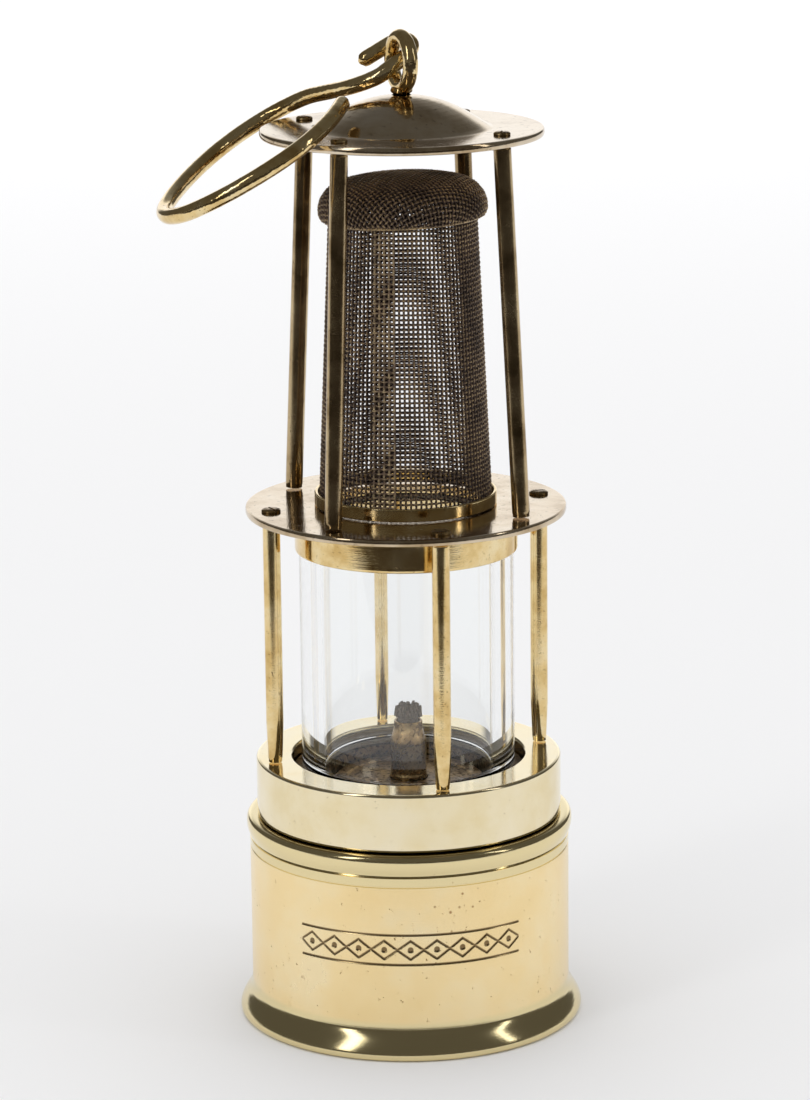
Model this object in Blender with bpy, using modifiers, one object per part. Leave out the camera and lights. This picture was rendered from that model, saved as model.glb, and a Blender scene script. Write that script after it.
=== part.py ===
"""A miner's safety lamp: an oil vessel, a glass and a wire gauze held in a
pillared frame, with a swivelling eye and a hanging hook on the hood.

Metres, +Z up. The vessel stands on z = 0 with its centre line on the Z axis.
"""
import math

import bpy
from mathutils import Matrix, Vector

MM = 0.001

# Oil vessel and what closes it, in millimetres.
BASE_RADIUS = 40.0
VESSEL_RADIUS = 37.1
VESSEL_TOP = 48.0
SHELL_INNER_RADIUS = 36.0
BASE_PLATE_RADIUS = 37.1
BASE_PLATE_THICKNESS = 1.5
DECK_TOP = 53.9
SPIGOT_RADIUS = 26.6
BURNER_HOLE_RADIUS = 12.3

# Burner.
BURNER_FLANGE_RADIUS = 18.0
BURNER_FLANGE_TOP = 56.5
WICK_TUBE_TOP = 70.0
WICK_BORE_RADIUS = 2.75
WICK_RADIUS = 2.4
WICK_TOP = 74.0

# Collar, glass and the plate above the glass.
COLLAR_RADIUS = 35.3
COLLAR_BOTTOM = 48.3
COLLAR_TOP = 61.8
COLLAR_BORE_RADIUS = 26.94
GLASS_RADIUS = 24.7
GLASS_BORE_RADIUS = 19.6
GLASS_BOTTOM = 60.0
GLASS_TOP = 117.5
BAND_RADIUS = 25.6
BAND_BOTTOM = 110.7
BAND_TOP = 119.25
PLATE_RADIUS = 36.75
PLATE_BOTTOM = 119.55
PLATE_TOP = 121.15
PLATE_HOLE_RADIUS = 18.6

# Pillars and their screws.
PILLAR_RADIUS = 2.0
LOWER_CIRCLE_RADIUS = 31.6
LOWER_START_DEG = 14.0
UPPER_FOOT_CIRCLE_RADIUS = 30.6
UPPER_HEAD_CIRCLE_RADIUS = 26.1
UPPER_START_DEG = 58.0
PLATE_SCREW_RADIUS = 2.2
HOOD_SCREW_RADIUS = 1.9
SCREW_HEIGHT = 0.95

# Gauze and hood.
GAUZE_RING_RADIUS = 20.9
GAUZE_RING_TOP = 124.4
GAUZE_FOOT_RADIUS = 19.8
GAUZE_HEAD_RADIUS = 16.6
GAUZE_TOP = 192.5
GAUZE_WALL = 0.5
HOOD_RADIUS = 32.06
HOOD_BOTTOM = 205.8
HOOD_TOP = 207.65
DOME_TOP = 215.0

# Eye and hook.
EYE_HEIGHT = 222.4
EYE_RING_RADIUS = 5.6
EYE_WIRE_RADIUS = 1.7
EYE_STEM_RADIUS = 1.8
EYE_PLANE_DEG = 292.0
HOOK_WIRE_RADIUS = 1.8
HOOK_TILT_DEG = 30.0
HOOK_YAW_DEG = 8.7

GAP = 0.3
TURN_STEPS = 48

COLOURS = {
    "brass": (0.78, 0.57, 0.27, 1.0),
    "dark_brass": (0.42, 0.31, 0.16, 1.0),
    "bronze": (0.30, 0.22, 0.13, 1.0),
    "gauze": (0.16, 0.12, 0.09, 1.0),
    "glass": (0.85, 0.90, 0.88, 1.0),
    "gasket": (0.62, 0.58, 0.50, 1.0),
    "washer": (0.20, 0.13, 0.08, 1.0),
    "cotton": (0.50, 0.44, 0.36, 1.0),
}


def clear_scene():
    """Take the start-up objects out."""
    for item in list(bpy.data.objects):
        bpy.data.objects.remove(item, do_unlink=True)


def collection_for(name):
    """Return the collection of this name, made under the scene if needed."""
    group = bpy.data.collections.get(name)
    if group is None:
        group = bpy.data.collections.new(name)
        bpy.context.scene.collection.children.link(group)
    return group


def material_for(name, colour):
    """Give each sub-part its own plain material."""
    red, green, blue, alpha = COLOURS[colour]
    skin = bpy.data.materials.new(name)
    skin.use_nodes = True
    shader = skin.node_tree.nodes["Principled BSDF"]
    shader.inputs["Base Color"].default_value = (red, green, blue, 1.0)
    shader.inputs["Roughness"].default_value = 0.35
    metal = colour in ("brass", "dark_brass", "bronze", "gauze")
    shader.inputs["Metallic"].default_value = 1.0 if metal else 0.0
    skin.diffuse_color = (red, green, blue, alpha)
    return skin


def settle(item, name, group, colour):
    """Name the object, put it in its collection and give it its material."""
    item.name = name
    item.data.name = name
    for owner in list(item.users_collection):
        owner.objects.unlink(item)
    collection_for(group).objects.link(item)
    item.data.materials.clear()
    item.data.materials.append(material_for(name, colour))
    return item


def turned(name, group, colour, profile, steps=TURN_STEPS, ring=True):
    """Turn a profile of (radius, height) pairs round the Z axis.

    A ring's profile closes on itself. A solid's profile starts and ends on
    the axis. Both run down the outer side from top to bottom.
    """
    mesh = bpy.data.meshes.new(name)
    points = [(radius * MM, 0.0, height * MM) for radius, height in profile]
    count = len(points)
    edges = [(index, index + 1) for index in range(count - 1)]
    if ring:
        edges.append((count - 1, 0))
    mesh.from_pydata(points, edges, [])
    mesh.update()
    item = bpy.data.objects.new(name, mesh)
    bpy.context.scene.collection.objects.link(item)
    settle(item, name, group, colour)
    screw = item.modifiers.new("turn", "SCREW")
    screw.axis = "Z"
    screw.steps = steps
    screw.render_steps = steps
    screw.use_merge_vertices = True
    screw.merge_threshold = 0.00005
    return item


def tube_profile(outer, inner, top, bottom, edge=0.0):
    """A plain ring section, with small chamfers on its outer corners."""
    if edge == 0.0:
        return [(inner, top), (outer, top), (outer, bottom), (inner, bottom)]
    return [
        (inner, top),
        (outer - edge, top),
        (outer, top - edge),
        (outer, bottom + edge),
        (outer - edge, bottom),
        (inner, bottom),
    ]


def disc_profile(outer, top, bottom, edge=0.0):
    """A plain disc section that starts and ends on the axis."""
    return [(0.0, top)] + tube_profile(outer, 0.0, top, bottom, edge)[1:-1] + [(0.0, bottom)]


def on_circle(radius, degrees, height):
    """A point in metres on a circle round the Z axis."""
    angle = math.radians(degrees)
    return Vector((radius * math.cos(angle), radius * math.sin(angle), height)) * MM


def pillar(name, group, colour, foot, head, radius, sides=20):
    """A round rod between two points."""
    span = head - foot
    bpy.ops.mesh.primitive_cylinder_add(
        vertices=sides, radius=radius * MM, depth=span.length, location=(0.0, 0.0, 0.0)
    )
    item = bpy.context.object
    turn = span.to_track_quat("Z", "Y").to_matrix().to_4x4()
    item.matrix_world = Matrix.Translation((foot + head) / 2.0) @ turn
    settle(item, name, group, colour)
    return item


def screw_head(name, group, colour, place, radius):
    """A low screw head with a rounded edge, standing on a plate."""
    profile = [
        (0.0, SCREW_HEIGHT),
        (radius * 0.55, SCREW_HEIGHT),
        (radius * 0.85, SCREW_HEIGHT * 0.85),
        (radius, SCREW_HEIGHT * 0.55),
        (radius, 0.0),
        (0.0, 0.0),
    ]
    item = turned(name, group, colour, profile, steps=20, ring=False)
    item.location = place
    return item


def make_vessel():
    """The oil vessel with its base, deck and filling."""
    shell = [
        (30.0, VESSEL_TOP),
        (35.0, 47.9),
        (36.8, 47.4),
        (37.7, 46.6),
        (37.8, 45.6),
        (37.5, 44.3),
        (37.2, 43.5),
        (36.85, 43.3),
        (36.85, 42.9),
        (37.15, 42.7),
        (VESSEL_RADIUS, 41.0),
        (36.95, 40.85),
        (36.95, 40.55),
        (VESSEL_RADIUS, 40.4),
        (VESSEL_RADIUS, 8.0),
        (37.5, 5.7),
        (38.65, 4.4),
        (39.6, 3.2),
        (BASE_RADIUS, 2.0),
        (BASE_RADIUS, 0.9),
        (39.5, 0.3),
        (38.6, 0.0),
        (37.4, 0.0),
        (37.4, 1.8),
        (SHELL_INNER_RADIUS, 1.8),
        (SHELL_INNER_RADIUS, 45.6),
        (35.0, 46.7),
        (30.0, 46.7),
    ]
    turned("fuel_vessel", "vessel", "brass", shell, steps=64)
    base = disc_profile(BASE_PLATE_RADIUS, BASE_PLATE_THICKNESS, 0.0)
    turned("base_plate", "vessel", "brass", base, ring=False)
    deck = [
        (BURNER_HOLE_RADIUS, DECK_TOP),
        (SPIGOT_RADIUS, DECK_TOP),
        (SPIGOT_RADIUS, VESSEL_TOP),
        (29.7, VESSEL_TOP),
        (29.7, 46.7),
        (25.4, 46.7),
        (25.4, 52.7),
        (BURNER_HOLE_RADIUS, 52.7),
    ]
    turned("vessel_deck", "vessel", "brass", deck)
    wadding = tube_profile(35.4, 5.0, 44.0, 2.2, 1.0)
    turned("fuel_wadding", "vessel", "cotton", wadding)


def make_burner():
    """The screwed burner plug with its washer, tube and wick."""
    washer = tube_profile(17.5, 12.6, DECK_TOP + 0.8, DECK_TOP + GAP)
    turned("burner_washer", "burner", "washer", washer)
    plug = [
        (4.5, BURNER_FLANGE_TOP),
        (17.5, BURNER_FLANGE_TOP),
        (BURNER_FLANGE_RADIUS, 56.0),
        (BURNER_FLANGE_RADIUS, 55.0),
        (11.9, 55.0),
        (11.9, 48.3),
        (11.4, 47.8),
        (4.5, 47.8),
    ]
    turned("burner_plug", "burner", "dark_brass", plug)
    tube = [
        (WICK_BORE_RADIUS, WICK_TUBE_TOP),
        (3.3, WICK_TUBE_TOP),
        (3.35, 69.0),
        (4.0, 66.2),
        (4.15, 65.4),
        (4.15, 46.0),
        (WICK_BORE_RADIUS, 46.0),
    ]
    turned("wick_tube", "burner", "brass", tube, steps=32)
    wick = [
        (0.0, WICK_TOP),
        (1.4, 73.7),
        (2.2, 72.6),
        (WICK_RADIUS, 70.5),
        (WICK_RADIUS, 12.0),
        (0.0, 12.0),
    ]
    turned("wick", "burner", "cotton", wick, steps=24, ring=False)


def make_glass_frame():
    """The collar, the glass with its seats, and the plate above it."""
    collar = [
        (27.3, COLLAR_TOP),
        (34.9, COLLAR_TOP),
        (COLLAR_RADIUS, 61.4),
        (COLLAR_RADIUS, 48.6),
        (35.0, COLLAR_BOTTOM),
        (30.1, COLLAR_BOTTOM),
        (30.1, 49.4),
        (COLLAR_BORE_RADIUS, 49.4),
        (COLLAR_BORE_RADIUS, 61.4),
    ]
    turned("collar_ring", "glass_frame", "brass", collar)
    seal = tube_profile(29.8, 27.2, 49.1, COLLAR_BOTTOM)
    turned("collar_seal", "vessel", "washer", seal)
    seat = tube_profile(SPIGOT_RADIUS, 19.0, 58.7, 54.3)
    turned("glass_seat_ring", "glass_frame", "dark_brass", seat)
    gasket = tube_profile(24.7, 19.9, GLASS_BOTTOM - GAP, 59.0)
    turned("lower_glass_gasket", "glass_frame", "gasket", gasket)
    glass = [
        (20.0, GLASS_TOP),
        (24.3, GLASS_TOP),
        (GLASS_RADIUS, GLASS_TOP - 0.4),
        (GLASS_RADIUS, GLASS_BOTTOM + 0.4),
        (24.3, GLASS_BOTTOM),
        (20.0, GLASS_BOTTOM),
        (GLASS_BORE_RADIUS, GLASS_BOTTOM + 0.4),
        (GLASS_BORE_RADIUS, GLASS_TOP - 0.4),
    ]
    turned("glass_cylinder", "glass_frame", "glass", glass)
    gasket = tube_profile(24.6, 19.9, 118.5, GLASS_TOP + GAP)
    turned("upper_glass_gasket", "glass_frame", "gasket", gasket)
    band = [
        (20.4, BAND_TOP),
        (BAND_RADIUS, BAND_TOP),
        (BAND_RADIUS, BAND_BOTTOM + 0.25),
        (BAND_RADIUS - 0.25, BAND_BOTTOM),
        (25.0, BAND_BOTTOM),
        (25.0, 118.8),
        (20.4, 118.8),
    ]
    turned("glass_holder_band", "glass_frame", "brass", band)
    plate = tube_profile(PLATE_RADIUS, PLATE_HOLE_RADIUS, PLATE_TOP, PLATE_BOTTOM, 0.3)
    turned("middle_plate", "glass_frame", "bronze", plate, steps=64)


def make_pillars():
    """Four pillars beside the glass and four that lean in to the hood."""
    for index in range(4):
        number = index + 1
        angle = LOWER_START_DEG + 90.0 * index
        foot = on_circle(LOWER_CIRCLE_RADIUS, angle, COLLAR_TOP + GAP)
        head = on_circle(LOWER_CIRCLE_RADIUS, angle, PLATE_BOTTOM - GAP)
        pillar(f"lower_pillar_{number}", "pillars", "brass", foot, head, PILLAR_RADIUS)
        place = on_circle(LOWER_CIRCLE_RADIUS, angle, PLATE_TOP + GAP)
        screw_head(f"frame_screw_{number}", "pillars", "brass", place, PLATE_SCREW_RADIUS)
        angle = UPPER_START_DEG + 90.0 * index
        foot = on_circle(UPPER_FOOT_CIRCLE_RADIUS, angle, PLATE_TOP + GAP + 0.1)
        head = on_circle(UPPER_HEAD_CIRCLE_RADIUS, angle, HOOD_BOTTOM - GAP - 0.1)
        pillar(f"upper_pillar_{number}", "pillars", "bronze", foot, head, PILLAR_RADIUS)
        place = on_circle(UPPER_HEAD_CIRCLE_RADIUS, angle, HOOD_TOP + GAP)
        screw_head(f"hood_screw_{number}", "pillars", "brass", place, HOOD_SCREW_RADIUS)


def make_gauze_and_hood():
    """The gauze with its ring and cap, under the domed hood."""
    ring = tube_profile(GAUZE_RING_RADIUS, 20.1, GAUZE_RING_TOP, PLATE_TOP + GAP, 0.2)
    turned("gauze_ring", "gauze", "bronze", ring)
    body = [
        (GAUZE_HEAD_RADIUS - GAUZE_WALL, GAUZE_TOP),
        (GAUZE_HEAD_RADIUS, GAUZE_TOP),
        (GAUZE_FOOT_RADIUS, PLATE_TOP + GAP),
        (GAUZE_FOOT_RADIUS - GAUZE_WALL, PLATE_TOP + GAP),
    ]
    turned("gauze_body", "gauze", "gauze", body)
    cap = [
        (0.0, 197.5),
        (6.0, 197.25),
        (11.0, 196.6),
        (15.0, 195.5),
        (17.0, 194.3),
        (18.3, 192.2),
        (18.9, 190.0),
        (19.25, 187.5),
        (18.75, 187.5),
        (18.35, 190.0),
        (17.8, 191.9),
        (16.6, 193.8),
        (14.7, 195.0),
        (11.0, 196.1),
        (6.0, 196.75),
        (0.0, 197.0),
    ]
    turned("gauze_cap", "gauze", "gauze", cap, ring=False)
    hood = [
        (2.2, DOME_TOP),
        (5.0, 214.65),
        (8.5, 213.8),
        (12.0, 212.45),
        (16.0, 210.35),
        (18.8, 208.5),
        (20.3, 207.8),
        (22.0, HOOD_TOP),
        (31.5, HOOD_TOP),
        (HOOD_RADIUS, 207.2),
        (HOOD_RADIUS, 206.25),
        (31.5, HOOD_BOTTOM),
        (21.0, HOOD_BOTTOM),
        (19.4, 206.3),
        (17.6, 207.6),
        (15.4, 209.1),
        (11.6, 211.1),
        (8.2, 212.4),
        (5.0, 213.25),
        (2.2, 213.6),
    ]
    turned("hood_plate", "hood", "bronze", hood, steps=64)


def make_eye():
    """The eye bolt with the washer and nut that hold it under the dome."""
    angle = math.radians(EYE_PLANE_DEG)
    bpy.ops.mesh.primitive_torus_add(
        major_segments=40,
        minor_segments=14,
        major_radius=EYE_RING_RADIUS * MM,
        minor_radius=EYE_WIRE_RADIUS * MM,
    )
    ring = bpy.context.object
    upright = Matrix.Rotation(math.radians(90.0), 4, "X")
    swing = Matrix.Rotation(angle, 4, "Z")
    lift = Matrix.Translation((0.0, 0.0, EYE_HEIGHT * MM))
    ring.data.transform(lift @ swing @ upright)
    settle(ring, "eye_bolt", "suspension", "brass")
    top = EYE_HEIGHT - EYE_RING_RADIUS + 0.2
    bottom = 207.2
    bpy.ops.mesh.primitive_cylinder_add(
        vertices=20,
        radius=EYE_STEM_RADIUS * MM,
        depth=(top - bottom) * MM,
        location=(0.0, 0.0, (top + bottom) / 2.0 * MM),
    )
    stem = bpy.context.object
    stem.name = "stem_for_eye"
    for owner in list(stem.users_collection):
        owner.objects.unlink(stem)
    collection_for("cutters").objects.link(stem)
    stem.hide_render = True
    stem.display_type = "WIRE"
    join = ring.modifiers.new("stem", "BOOLEAN")
    join.operation = "UNION"
    join.solver = "EXACT"
    join.object = stem
    washer = tube_profile(5.2, 2.2, 212.9, 212.2)
    turned("eye_washer", "suspension", "brass", washer, steps=32)
    nut = tube_profile(4.2, 2.2, 211.9, 208.6)
    turned("eye_nut", "suspension", "brass", nut, steps=6)


def hook_axes():
    """The hook's own directions: along its arm, across it and off its plane."""
    tilt = math.radians(HOOK_TILT_DEG)
    yaw = math.radians(HOOK_YAW_DEG)
    along = Vector((
        -math.cos(tilt) * math.cos(yaw),
        -math.cos(tilt) * math.sin(yaw),
        -math.sin(tilt),
    ))
    across = Vector((math.sin(yaw), -math.cos(yaw), 0.0))
    off = along.cross(across)
    if off.z < 0.0:
        off.negate()
    return along, across, off


def smooth_path(points, pieces):
    """Points of an even curve through the given ones (centripetal spline)."""
    ends = [points[0] * 2.0 - points[1]] + points + [points[-1] * 2.0 - points[-2]]
    path = []
    for index in range(1, len(ends) - 2):
        before, start, finish, after = ends[index - 1:index + 3]
        count = max(2, round((finish - start).length / pieces))
        for step in range(count):
            share = step / count
            square = share * share
            cube = square * share
            point = (
                start * 2.0
                + (finish - before) * share
                + (before * 2.0 - start * 5.0 + finish * 4.0 - after) * square
                + (start * 3.0 - before - finish * 3.0 + after) * cube
            ) / 2.0
            path.append(point)
    path.append(points[-1])
    return path


def make_hook():
    """The wire hook: a small loop in the eye, then one large round bend."""
    along, across, off = hook_axes()
    angle = math.radians(EYE_PLANE_DEG)
    ring_side = Vector((math.cos(angle), math.sin(angle), 0.0))
    centre = Vector((0.0, 0.0, EYE_HEIGHT))
    strand = centre - ring_side * EYE_RING_RADIUS
    small_radius = 4.15
    roll = math.radians(21.0)
    loop_place = Vector((-1.3, 0.25, 0.95))
    plan = []
    plan.append(Vector((4.4, -small_radius * math.cos(roll) + 0.25, small_radius * math.sin(roll) + 0.95)))
    plan.append(Vector((1.5, plan[0].y, plan[0].z)))
    for step in range(-3, 4):
        turn = math.radians(30.0 * step)
        side = small_radius * math.sin(turn)
        reach = -small_radius * math.cos(turn)
        plan.append(loop_place + Vector((reach, side * math.cos(roll), -side * math.sin(roll))))
    plan += [Vector(spot) for spot in (
        (2.2, 4.6, -0.8),
        (5.4, 4.3, -1.0),
        (10.5, 1.1, -0.55),
        (15.0, -7.0, -0.4),
        (20.0, -14.6, 0.0),
        (26.0, -18.8, 0.0),
        (32.0, -19.9, 0.0),
        (38.0, -18.9, 0.0),
        (43.6, -16.0, 0.0),
        (49.3, -10.9, 0.0),
        (54.4, -4.2, 0.0),
        (58.8, 3.8, 0.0),
        (61.4, 12.0, 0.0),
        (61.3, 20.0, 0.0),
        (58.6, 26.8, 0.0),
        (54.0, 31.2, 0.0),
        (47.6, 34.2, 0.0),
        (40.6, 35.3, 0.0),
        (33.6, 34.5, 0.0),
        (27.2, 31.6, 0.0),
        (22.0, 26.6, 0.0),
        (18.0, 20.4, 0.0),
        (14.9, 13.4, 0.0),
    )]
    places = [
        strand + along * spot.x + across * spot.y + off * spot.z for spot in plan
    ]
    path = smooth_path(places, 3.4)
    curve = bpy.data.curves.new("hook", "CURVE")
    curve.dimensions = "3D"
    curve.bevel_depth = HOOK_WIRE_RADIUS * MM
    curve.bevel_resolution = 2
    curve.use_fill_caps = True
    spline = curve.splines.new("POLY")
    spline.points.add(len(path) - 1)
    for point, place in zip(spline.points, path):
        local = (place - centre) * MM
        point.co = (local.x, local.y, local.z, 1.0)
    item = bpy.data.objects.new("hook", curve)
    bpy.context.scene.collection.objects.link(item)
    item.location = centre * MM
    settle(item, "hook", "suspension", "brass")


def main():
    """Build the lamp from its base up."""
    clear_scene()
    make_vessel()
    make_burner()
    make_glass_frame()
    make_pillars()
    make_gauze_and_hood()
    make_eye()
    make_hook()


main()
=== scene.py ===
# A miner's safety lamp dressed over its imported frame: turned brass, woven gauze, glass and wick.
import math
import random

import bpy
from mathutils import Euler, Matrix, Vector


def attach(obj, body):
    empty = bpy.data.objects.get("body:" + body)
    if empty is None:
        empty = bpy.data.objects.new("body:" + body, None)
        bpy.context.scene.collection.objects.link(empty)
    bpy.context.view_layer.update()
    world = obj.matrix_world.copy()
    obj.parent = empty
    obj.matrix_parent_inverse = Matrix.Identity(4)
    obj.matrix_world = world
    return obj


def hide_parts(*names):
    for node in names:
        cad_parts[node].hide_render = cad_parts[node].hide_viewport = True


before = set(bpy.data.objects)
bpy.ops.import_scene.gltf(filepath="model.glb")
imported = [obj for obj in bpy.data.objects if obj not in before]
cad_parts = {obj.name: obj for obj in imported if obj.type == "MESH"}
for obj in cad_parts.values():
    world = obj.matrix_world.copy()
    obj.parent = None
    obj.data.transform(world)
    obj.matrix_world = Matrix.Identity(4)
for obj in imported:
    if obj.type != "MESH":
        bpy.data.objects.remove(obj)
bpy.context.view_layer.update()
bpy.ops.object.select_all(action="DESELECT")
mm = 0.001
print("lamp: frame loaded,", len(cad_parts), "nodes")


def fromHex(code):
    # sRGB hex to the linear colour that sockets take
    parts = [int(code[place:place + 2], 16) / 255 for place in (1, 3, 5)]
    linear = [part / 12.92 if part <= 0.04045 else ((part + 0.055) / 1.055) ** 2.4 for part in parts]
    return (*linear, 1.0)


def fill(tree, node, values):
    # each value sets a socket, or links it to a node's first output or to (node, output)
    for key, value in values.items():
        source = (value, 0) if isinstance(value, bpy.types.Node) else value
        if isinstance(source, tuple) and isinstance(source[0], bpy.types.Node):
            tree.links.new(source[0].outputs[source[1]], node.inputs[key])
        else:
            node.inputs[key].default_value = value


def addNode(tree, kind, values=None):
    # values that name a socket by its name or number fill it, the rest are the node's own settings
    node = tree.nodes.new("ShaderNode" + kind)
    sockets = {socket.name for socket in node.inputs}
    fillings = {}
    for key, value in (values or {}).items():
        if key in sockets or isinstance(key, int):
            fillings[key] = value
        else:
            setattr(node, key, value)
    fill(tree, node, fillings)
    return node


def startMaterial(name):
    material = bpy.data.materials.new(name)
    material.use_nodes = True
    tree = material.node_tree
    return material, tree, tree.nodes["Principled BSDF"]


def spreadRamp(tree, source, stops):
    # stops are (place, colour hex or grey value)
    ramp = addNode(tree, "ValToRGB", {"Fac": source})
    cells = ramp.color_ramp.elements
    while len(cells) < len(stops):
        cells.new(0.5)
    for cell, (place, tone) in zip(cells, stops):
        cell.position = place
        cell.color = fromHex(tone) if isinstance(tone, str) else (tone, tone, tone, 1.0)
    return ramp


# Lathe work leaves fine rings that run round the lamp, on walls and flats alike,
# so the ring pattern reads distance from the centre line and height only.
def turnedCoords(tree, coords):
    split = addNode(tree, "SeparateXYZ", {"Vector": (coords, "Object")})
    flat = addNode(tree, "CombineXYZ", {"X": (split, "X"), "Y": (split, "Y")})
    reach = addNode(tree, "VectorMath", {"operation": "LENGTH", 0: flat})
    return addNode(tree, "CombineXYZ", {"X": (reach, "Value"), "Y": (split, "Z")})


def makeBrass(name, look):
    # Turned and polished brass, lacquer long gone: warm, slightly cloudy, with spots and hairlines
    material, tree, shader = startMaterial(name)
    coords = addNode(tree, "TexCoord")
    cloud = addNode(tree, "TexNoise", {
        "Scale": 1000 / look["cloudMm"], "Detail": 5.0, "Roughness": 0.6, "Vector": (coords, "Object"),
    })
    tones = spreadRamp(tree, cloud, [(0.34, look["dark"]), (0.5, look["base"]), (0.68, look["light"])])
    spots = addNode(tree, "TexNoise", {
        "Scale": 1000 / look["spotMm"], "Detail": 3.0, "Roughness": 0.7, "Vector": (coords, "Object"),
    })
    spotMask = spreadRamp(tree, spots, [(look["spotFrom"], 0.0), (look["spotFrom"] + 0.07, 1.0)])
    spotShare = addNode(tree, "Math", {"operation": "MULTIPLY", 0: spotMask, 1: look["spotDepth"]})
    colour = addNode(tree, "Mix", {"data_type": "RGBA", 0: spotShare, 6: tones, 7: fromHex(look["spot"])})
    rings = turnedCoords(tree, coords)
    low, high = look["rough"]
    turning = addNode(tree, "TexNoise", {
        "Scale": 1000 / look["ringMm"], "Detail": 2.0, "Roughness": 0.5, "Vector": rings,
    })
    streaks = addNode(tree, "Mapping", {
        "Rotation": (0.5, 0.9, 0.3), "Scale": (1.0, 0.06, 1.0), "Vector": (coords, "Object"),
    })
    hairs = addNode(tree, "TexNoise", {"Scale": 1000 / look["hairMm"], "Detail": 2.0, "Vector": streaks})
    relief = addNode(tree, "Math", {
        "operation": "MULTIPLY_ADD", 0: hairs, 1: look["hairShare"], 2: turning,
    })
    bump = addNode(tree, "Bump", {
        "Strength": look["relief"], "Distance": look["deepMm"] * mm, "Height": relief,
    })
    rough = addNode(tree, "MapRange", {
        "To Min": low, "To Max": high, "From Min": 0.3, "From Max": 0.7, "Value": cloud,
    })
    roughSpots = addNode(tree, "Math", {"operation": "MULTIPLY_ADD", 0: spotShare, 1: 0.25, 2: rough})
    fill(tree, shader, {
        "Base Color": (colour, 2), "Roughness": roughSpots, "Normal": bump, "Metallic": 1.0,
    })
    return material


# what a lathe and emery leave on every brass here, unless its own look says otherwise
latheMarks = {"ringMm": 0.3, "hairMm": 0.3, "deepMm": 0.05}
brassLooks = {
    "satinBrass": {
        **latheMarks, "base": "#fbe2ac", "light": "#fde9bb", "dark": "#f7dca3", "spot": "#7d5b30",
        "cloudMm": 18, "spotMm": 1.5, "spotFrom": 0.66, "spotDepth": 0.75, "ringMm": 0.35, "hairMm": 0.25,
        "hairShare": 0.5, "relief": 0.3, "rough": (0.19, 0.28),
    },
    "paleBrass": {
        **latheMarks, "base": "#f0e2bd", "light": "#f4e8c9", "dark": "#ebdaae", "spot": "#8c7146",
        "cloudMm": 12, "spotMm": 1.1, "spotFrom": 0.67, "spotDepth": 0.6, "hairMm": 0.22,
        "hairShare": 0.5, "relief": 0.15, "rough": (0.09, 0.16),
    },
    "polishedBrass": {
        **latheMarks, "base": "#e6cb92", "light": "#f0ddb0", "dark": "#cfae70", "spot": "#5f4523",
        "cloudMm": 7, "spotMm": 0.9, "spotFrom": 0.63, "spotDepth": 0.7, "hairShare": 0.7, "relief": 0.2,
        "rough": (0.06, 0.15),
    },
    "bronzeBrass": {
        **latheMarks, "base": "#cfbc9f", "light": "#dccdb6", "dark": "#b39c7b", "spot": "#4e3a20",
        "cloudMm": 11, "spotMm": 1.3, "spotFrom": 0.62, "spotDepth": 0.55, "hairShare": 0.8,
        "relief": 0.2, "rough": (0.07, 0.16),
    },
    "drawnBrass": {
        **latheMarks, "base": "#b7a07a", "light": "#c9b48d", "dark": "#8b7552", "spot": "#43331d",
        "cloudMm": 9, "spotMm": 1.0, "spotFrom": 0.62, "spotDepth": 0.6, "hairShare": 0.8, "relief": 0.25,
        "rough": (0.1, 0.2),
    },
    "heatedBrass": {
        **latheMarks, "base": "#a68c62", "light": "#cdb585", "dark": "#765f3f", "spot": "#3a2a19",
        "cloudMm": 5, "spotMm": 1.0, "spotFrom": 0.55, "spotDepth": 0.7, "hairShare": 0.6, "relief": 0.3,
        "rough": (0.2, 0.36),
    },
    "sootedBrass": {
        **latheMarks, "base": "#7d6545", "light": "#a58a5e", "dark": "#4c3a26", "spot": "#1d150c",
        "cloudMm": 5, "spotMm": 1.0, "spotFrom": 0.52, "spotDepth": 0.8, "hairShare": 0.5, "relief": 0.3,
        "rough": (0.25, 0.45),
    },
}
# hammered and bent wire is uneven over a few millimetres
brassLooks["forgedBrass"] = {
    **brassLooks["polishedBrass"], "ringMm": 2.4, "hairMm": 1.8, "relief": 0.8, "deepMm": 0.2,
    "spotDepth": 0.9,
}
metals = {name: makeBrass(name, look) for name, look in brassLooks.items()}


def makeOxideWire(name, look):
    # Drawn bronze wire blackened by heat and handling, brown in the weave, with a painted gold glint on
    # its crests
    material, tree, shader = startMaterial(name)
    coords = addNode(tree, "TexCoord")
    patches = addNode(tree, "TexNoise", {
        "Scale": 1000 / look["patchMm"], "Detail": 4.0, "Roughness": 0.65, "Vector": (coords, "Object"),
    })
    grime = spreadRamp(tree, patches, [(0.35, look["black"]), (0.65, look["brown"])])
    crest = addNode(tree, "Attribute", {"attribute_name": "crest"})
    # where a wire stands proud: the painted glint goes here
    crestGlintMask = addNode(tree, "MapRange", {"From Min": 0.45, "From Max": 0.95, "Value": (crest, "Fac")})
    # patchy strength of the painted glint
    glintPatches = spreadRamp(tree, patches, [(0.38, 0.25), (0.62, 1.0)])
    share = addNode(tree, "Math", {"operation": "MULTIPLY", 0: crestGlintMask, 1: glintPatches})
    # the painted glint colour laid over the oxide
    tones = addNode(tree, "Mix", {"data_type": "RGBA", 0: share, 6: grime, 7: fromHex(look["glintGold"])})
    # the painted glint is also smoother and more metallic than the oxide
    rough = addNode(tree, "MapRange", {"To Min": 0.5, "To Max": 0.26, "Value": share})
    glintMetallic = addNode(tree, "MapRange", {"To Min": 0.45, "To Max": 1.0, "Value": share})
    fill(tree, shader, {"Base Color": (tones, 2), "Roughness": rough, "Metallic": glintMetallic})
    return material


# the crest value also places the painted gold glint in the wire material
def markCrests(wire, shares):
    # 1 where a wire stands proudest of its cloth, down to 0 where it dips under the next
    crest = wire.data.attributes.new("crest", "FLOAT", "POINT")
    crest.data.foreach_set("value", [min(max(share, 0.0), 1.0) for share in shares])


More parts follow.
